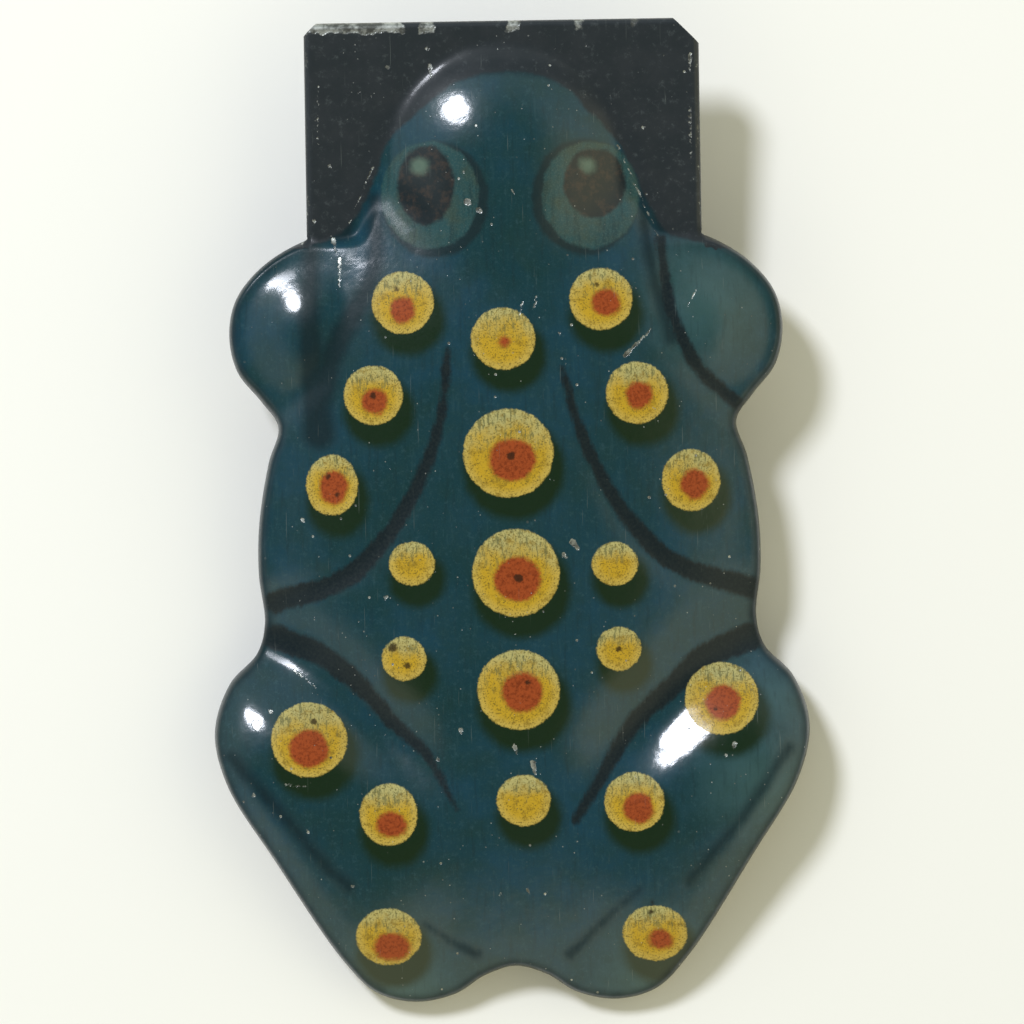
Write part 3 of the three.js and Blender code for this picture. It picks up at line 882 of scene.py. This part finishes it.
def teal_ink(n, noises):
    """The ground colour, with clouds, brush marks, the spots' shadows and a painted sheen in it."""
    mottle = n.noise(2.4, 4, 0.75)
    # Painted sheen: paler teal on the right and lower edges, where the bright side of the room would
    # reflect.
    painted_sheen = n.add(n.field("painted_sheen"), n.centred(noises.blotch, 5))
    shadow = n.add(n.field("spot_shade"), noises.uneven)
    ink = n.mix(n.step(noises.cloud, 0.35, 0.65), "teal_green", "teal_blue")
    ink = n.mix(n.step(noises.blotch, 0.3, 0.75, 0.0, 0.5), ink, "teal_olive")
    ink = n.mix(n.step(noises.speckle, 0.5, 0.75, 0.0, 0.35), ink, "teal_speckle")
    ink = n.mix(n.step(painted_sheen, 2.5, -4.5, 0.0, 0.55), ink, "teal_painted_sheen")
    ink = n.mix(n.step(noises.bristles, 0.52, 0.7, 0.0, 0.25), ink, "bristle_dark")
    ink = n.mix(n.step(noises.bristles, 0.42, 0.28, 0.0, 0.12), ink, "bristle_light")
    ink = n.mix(n.step(mottle, 0.52, 0.72, 0.0, 0.45), ink, "teal_mottle")
    return n.mix(n.step(shadow, 0.55, -0.5, 0.0, 0.95), ink, "spot_shadow")


def brushed_ink(n, noises, inked, edge, line, shading):
    """Dark shading along the sheet's edge and the limbs, and the brushed lines over it."""
    inked = n.mix(n.step(edge, 1.1, 0.1, 0.0, 0.8), inked, "shading")
    inked = n.mix(n.step(shading, 0.7, -0.5, 0.0, 0.75), inked, "shading")
    line_ink = n.mix(n.step(noises.grain, 0.35, 0.75), "line", "line_worn")
    return n.mix(n.step(line, 0.28, -0.16), inked, line_ink)


def eye_ink(n, noises, inked):
    """The eyes: dark contour, streaked ring, pupil and glint."""
    names = ("eye_contour", "eye", "pupil", "glint")
    contour, eye, pupil, glint = (n.add(n.field(name), noises.uneven) for name in names)
    ring = n.mix(n.step(noises.blotch, 0.4, 0.7), "eye_ring", "eye_ring_olive")
    ring = n.mix(n.step(noises.bristles, 0.45, 0.7, 0.0, 0.55), ring, "eye_bristle")
    ring = n.mix(n.step(noises.speckle, 0.45, 0.7, 0.0, 0.4), ring, "eye_speckle")
    pupil_ink = n.mix(n.step(n.noise(1.1, 4, 0.7), 0.45, 0.7), "pupil", "pupil_worn")
    inked = n.mix(n.step(contour, 0.25, -0.2, 0.0, 0.85), inked, "eye_contour")
    inked = n.mix(n.step(eye, 0.12, -0.2), inked, ring)
    inked = n.mix(n.step(pupil, 0.2, -0.15), inked, pupil_ink)
    return n.mix(n.step(glint, 0.3, -0.5, 0.0, 0.6), inked, "glint")


def plate_ink(n, noises, inked, on_black):
    """The black plate, a little scuffed."""
    scuffs = n.step(n.noise(1.8, 5, 0.75), 0.54, 0.74, 0.0, 0.4)
    black = n.mix(n.step(noises.blotch, 0.35, 0.7), "black", "black_worn")
    black = n.mix(scuffs, black, "scuff")
    return n.mix(on_black, inked, black)


def spot_ink(n, noises, inked, on_spot):
    """The yellow spots, rubbed through most at their upper ends, with red middles and dark marks."""
    height = n.field("spot_height")
    faded = n.add(height, n.centred(noises.blotch, 1.6))
    stain = n.step(n.noise(1.6, 5, 0.75), 0.5, 0.66, 0.0, 0.7)
    rubbed = n.step(n.noise(1, 4, 0.7, n.stretched((4.5, 1.1, 1))), 0.5, 0.62)
    rubbed = n.times(rubbed, n.step(height, -0.3, 0.6, 0.05, 0.75))
    red = n.add(n.field("red"), n.add(noises.uneven, n.centred(noises.speckle, 0.5)))
    dot = n.add(n.field("dot"), noises.uneven)
    yellow = n.mix(n.step(faded, 0.0, 1.0), "yellow", "yellow_faded")
    yellow = n.mix(n.step(n.field("yellow"), -0.9, 0.0, 0.0, 0.4), yellow, "yellow_rim")
    yellow = n.mix(n.step(noises.speckle, 0.52, 0.66, 0.0, 0.75), yellow, "yellow_speckle")
    yellow = n.mix(stain, yellow, "yellow_stain")
    yellow = n.mix(rubbed, yellow, "yellow_rubbed")
    inked = n.mix(on_spot, inked, yellow)
    red_ink = n.mix(n.step(noises.grain, 0.4, 0.7), "red", "red_dark")
    inked = n.mix(n.step(red, 0.22, -0.26), inked, red_ink)
    return n.mix(n.step(dot, 0.12, -0.06, 0.0, 0.85), inked, "dot")


def bare_and_glint_share(n, noises):
    """1 where the print is gone: scratches, worn edges, flecks and finer dust marks, and the painted
    glints, bare-metal marks that stand in for highlights.
    """
    flecks = n.times(n.step(n.cells(0.62), 0.075, 0.05), n.step(n.noise(0.16, 2), 0.48, 0.56))
    dust = n.times(n.step(n.cells(1.5), 0.09, 0.06), n.step(n.noise(0.3, 3), 0.46, 0.56))
    scratch_and_glint = n.step(n.add(n.field("scratch_and_glint"), noises.ragged), 0.06, -0.02)
    worn = n.add(n.field("worn_edge"), n.centred(n.noise(0.9, 4, 0.65), 1.5))
    marks = n.larger(flecks, n.times(dust, 0.55))
    return n.larger(n.larger(scratch_and_glint, n.step(worn, 0.14, -0.12)), marks)


def coat_share(n, on_spot, edge, brushed, black):
    """How much lacquer is left: less on the spots, at the edge, on the dark inks and where it's dull."""
    coat = n.times(n.step(on_spot, 0, 1, 1.0, 0.12), n.step(edge, 0.1, 1.0, 0.2, 1.0))
    coat = n.times(coat, n.step(brushed, 0.4, -0.3, 1.0, 0.3))
    coat = n.times(coat, n.step(black, 0.2, -0.2, 1.0, 0.45))
    return n.times(coat, n.step(n.field("dull"), 1.2, -0.8, 1.0, 0.04))


def litho_tin():
    """Inks on tinplate under a glossy lacquer, chipped and scratched through to the metal, with painted
    glints of bare metal and a painted sheen in the teal.
    """
    n = Material("litho_tin")
    noises = litho_noises(n)
    edge = n.add(n.field("edge"), noises.wobble)
    line = n.add(n.field("line"), n.add(noises.uneven, n.centred(noises.bristles, 0.5)))
    shading = n.add(n.field("shading"), n.add(noises.uneven, n.centred(noises.bristles, 0.6)))
    black = n.add(n.field("black"), noises.uneven)
    ragged_spot = n.add(n.centred(n.noise(0.9, 3), 0.2), noises.ragged)
    on_spot = n.step(n.add(n.field("yellow"), ragged_spot), 0.08, -0.08)

    inked = teal_ink(n, noises)
    inked = brushed_ink(n, noises, inked, edge, line, shading)
    inked = eye_ink(n, noises, inked)
    inked = plate_ink(n, noises, inked, n.step(black, 0.2, -0.2))
    inked = spot_ink(n, noises, inked, on_spot)

    # Bare metal where the print is worn through, and the painted glints.
    bare_and_glint = bare_and_glint_share(n, noises)
    tin = n.mix(n.step(n.noise(1.3, 3, 0.6), 0.38, 0.62), "worn_tin_and_glint", "worn_tin_and_glint_dark")
    hairline = n.noise(1, 2, 0.5, n.stretched((7, 0.22, 1), (0, 0, 0.8)))
    colour = n.mix(bare_and_glint, inked, tin)
    colour = n.mix(n.step(hairline, 0.7, 0.76, 0.0, 0.22), colour, "hairline")

    peel = n.centred(n.noise(0.5, 2, 0.5), 0.035)
    fine = n.times(n.noise(3.5, 3, 0.6), 0.004)
    normal = n.bump(n.math("SUBTRACT", n.add(peel, fine), n.times(bare_and_glint, 0.02)))
    n.set(
        base_color=colour,
        metallic=n.times(bare_and_glint, 0.8),
        roughness=n.step(noises.grain, 0.3, 0.7, 0.3, 0.42),
        specular_ior_level=0.1,
        coat_weight=coat_share(n, on_spot, edge, n.math("MINIMUM", line, shading), black),
        coat_roughness=0.12,
        coat_ior=1.5,
        normal=normal,
        coat_normal=normal,
    )
    return n.material


def bare_tin(name):
    """Unprinted tinplate, lightly stained, in the inks named after it."""
    n = Material(name)
    stain = n.noise(0.25, 5, 0.6)
    grain = n.noise(6, 3, 0.6)
    n.set(
        base_color=n.mix(n.step(stain, 0.45, 0.75), name, name + "_stain"),
        metallic=1.0,
        roughness=n.step(stain, 0.3, 0.7, 0.24, 0.48),
        normal=n.bump(n.times(grain, 0.006)),
    )
    return n.material


def spring_steel():
    """Rolled steel strip: fine lines along its length and a few brown stains."""
    n = Material("spring_steel")
    lines = n.noise(1, 4, 0.7, n.stretched((6, 0.16, 6)))
    stain = n.noise(0.22, 5, 0.65)
    colour = n.mix(n.step(lines, 0.25, 0.75), "steel_line", "steel")
    n.set(
        base_color=n.mix(n.step(stain, 0.48, 0.68, 0.0, 0.45), colour, "steel_stain"),
        metallic=1.0,
        roughness=n.step(lines, 0.3, 0.7, 0.26, 0.44),
        normal=n.bump(n.times(lines, 0.008)),
    )
    return n.material


# ---- Pieces ----

def make_shell():
    """The whole tin sheet, with its print's fields on both of its sides."""
    surface, surface_faces = shell_surface()
    points, faces, kinds = thicken(surface, surface_faces, TIN)
    materials = [litho_tin(), bare_tin("bare_tin"), bare_tin("cut_edge")]
    shell = make_object("tin_shell", points, faces, kinds, materials)
    fields = print_fields(surface)
    both_sides = {name: np.concatenate([values, values]) for name, values in fields.items()}
    add_fields(shell.data, both_sides)
    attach(shell, "shell")
    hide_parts("frog_shell")


def strip_surface(box, from_y, to_y, end_radius):
    """The upper surface of a length of the strip, dished upwards and rounded at its sheared edges.
    Its corners at from_y have the end radius; without one, that end is a join and isn't sheared."""
    half_width, top = box[1].x / MM, box[1].z / MM
    loop = [(half_width, to_y), (-half_width, to_y), (-half_width, from_y + end_radius)]
    if end_radius:
        turns = np.linspace(math.pi, 1.5 * math.pi, CORNER_POINTS)[1:]
        corner = [(end_radius * (1 + math.cos(a)), end_radius * (1 + math.sin(a))) for a in turns]
        loop += [(x - half_width, y + from_y) for x, y in corner]
        loop += [(half_width - x, y + from_y) for x, y in corner[::-1]]
    loop += [(half_width, from_y + end_radius), (half_width, to_y)]
    flat, faces = fill_loop(resample(loop, STRIP_STEP)[:-1], STRIP_RINGS, STRIP_STEP)
    x, y = flat.T
    centre_y, radius, depth = DISH
    share = np.clip(np.hypot(x, y - centre_y) / radius, 0, 1)
    sheared = np.minimum(half_width - np.abs(x), y - from_y if end_radius else FAR)
    drop = SHEAR_RADIUS * (1 - rounded(sheared / SHEAR_RADIUS)) * SHEAR_SHARE
    height = top + depth * (1 + np.cos(math.pi * share)) / 2 - drop
    return np.column_stack([flat, height]), faces


def make_strip(name, surface, material, replaced, bodies, start_y, end_y):
    """One length of the strip, thickened in steel in place of the replaced parts; bodies, start_y and end_y
    are not used.
    """
    points, faces, kinds = thicken(*surface, STEEL)
    strip = make_object(name, points, faces, [0] * len(kinds), [material])
    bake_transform(strip)
    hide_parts(*replaced)


def make_spring():
    """The strip in two lengths, which meet behind its dish."""
    clamped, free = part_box("spring_clamped_end"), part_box("spring_press_end")
    front = strip_surface(clamped, STRIP_SPLIT_Y, clamped[1].y / MM, 0)
    rear = strip_surface(free, free[0].y / MM, STRIP_SPLIT_Y, STRIP_END_RADIUS)
    steel = spring_steel()
    joined = ("spring_clamped_end", "spring_blade")
    make_strip("strip_front", front, steel, joined, ("shell", "blade"), *FRONT_BEND)
    make_strip("strip_rear", rear, steel, ("spring_press_end",), ("blade", "press_end"), *REAR_BEND)


def add_floor():
    """Pale paper just under the toy's back end, which falls away gently under its front."""
    span = np.arange(-FLOOR_SPAN, FLOOR_SPAN + 1, 2)
    y = np.concatenate([[-FLOOR_HALF_WIDTH], span, [FLOOR_HALF_WIDTH]])
    middle = (y[:-1] + y[1:]) / 2
    from_y, to_y = FLOOR_LEVEL_FROM
    slope = FLOOR_FALL * smooth_step(to_y, from_y, np.abs(middle))
    z = np.concatenate([[0], -np.cumsum(slope * np.diff(y))])
    z -= np.interp(-FRONT_Y, y, z) + FLOOR_GAP
    sides = (-FLOOR_HALF_WIDTH, FLOOR_HALF_WIDTH)
    points = np.array([(x, row_y, row_z) for row_y, row_z in zip(y, z) for x in sides])
    faces = [(i, i + 1, i + 3, i + 2) for i in range(0, len(points) - 2, 2)]
    n = Material("pale_floor")
    n.set(base_color=n.mix(n.noise(0.01, 3), "floor", "floor_shade"), roughness=0.7)
    make_object("floor", points, faces, [0] * len(faces), [n.material])


def add_window():
    """A soft round light aimed at the toy."""
    light = bpy.data.lights.new("window", "AREA")
    light.shape = "DISK"
    light.size = WINDOW_SIZE
    light.energy = WINDOW_POWER
    light.color = WINDOW_COLOUR
    lamp = bpy.data.objects.new("window", light)
    turn, lift = math.radians(WINDOW_AZIMUTH), math.radians(WINDOW_ELEVATION)
    flat = WINDOW_DISTANCE * math.cos(lift)
    height = WINDOW_DISTANCE * math.sin(lift)
    lamp.location = (flat * math.cos(turn), flat * math.sin(turn), height)
    lamp.rotation_euler = (-lamp.location).to_track_quat("-Z", "Y").to_euler()
    bpy.context.scene.collection.objects.link(lamp)


def add_world():
    """A room that is warm and bright towards one side, cooler on the other and dark overhead."""
    world = bpy.data.worlds.new("studio")
    world.use_nodes = True
    n = Nodes(world.node_tree)
    direction = n.new("TexCoord").outputs["Generated"]
    parts = n.new("SeparateXYZ")
    n.link(direction, parts.inputs[0])
    towards = n.new("VectorMath")
    towards.operation = "DOT_PRODUCT"
    towards.inputs[1].default_value = BRIGHT_SIDE
    n.link(direction, towards.inputs[0])
    towards_bright = towards.outputs["Value"]
    overhead = n.add(n.times(towards_bright, DARK_LEAN), parts.outputs["Z"])
    warmth = n.step(towards_bright, -TINT_HALF_WIDTH, TINT_HALF_WIDTH)
    background = n.tree.nodes["Background"]
    n.link(n.mix(warmth, ROOM_COOL, ROOM_WARM), background.inputs["Color"])
    strength = n.step(overhead, DARK_FROM, DARK_TO, ROOM_SIDE, ROOM_TOP)
    n.link(strength, background.inputs["Strength"])
    bpy.context.scene.world = world


def add_camera():
    """The photo's view, from straight above."""
    data = bpy.data.cameras.new("camera")
    data.sensor_width = 36
    data.lens = data.sensor_width * VIEW_HEIGHT / VIEW_WIDTH
    data.clip_start = 0.01
    camera = bpy.data.objects.new("camera", data)
    camera.location = (VIEW_CENTRE[0] * MM, VIEW_CENTRE[1] * MM, VIEW_HEIGHT * MM)
    camera.rotation_euler.z = VIEW_TURN
    bpy.context.scene.collection.objects.link(camera)
    bpy.context.scene.camera = camera


make_shell()
make_spring()
add_floor()
add_window()
add_world()
add_camera()
bpy.context.scene.view_settings.view_transform = "Standard"
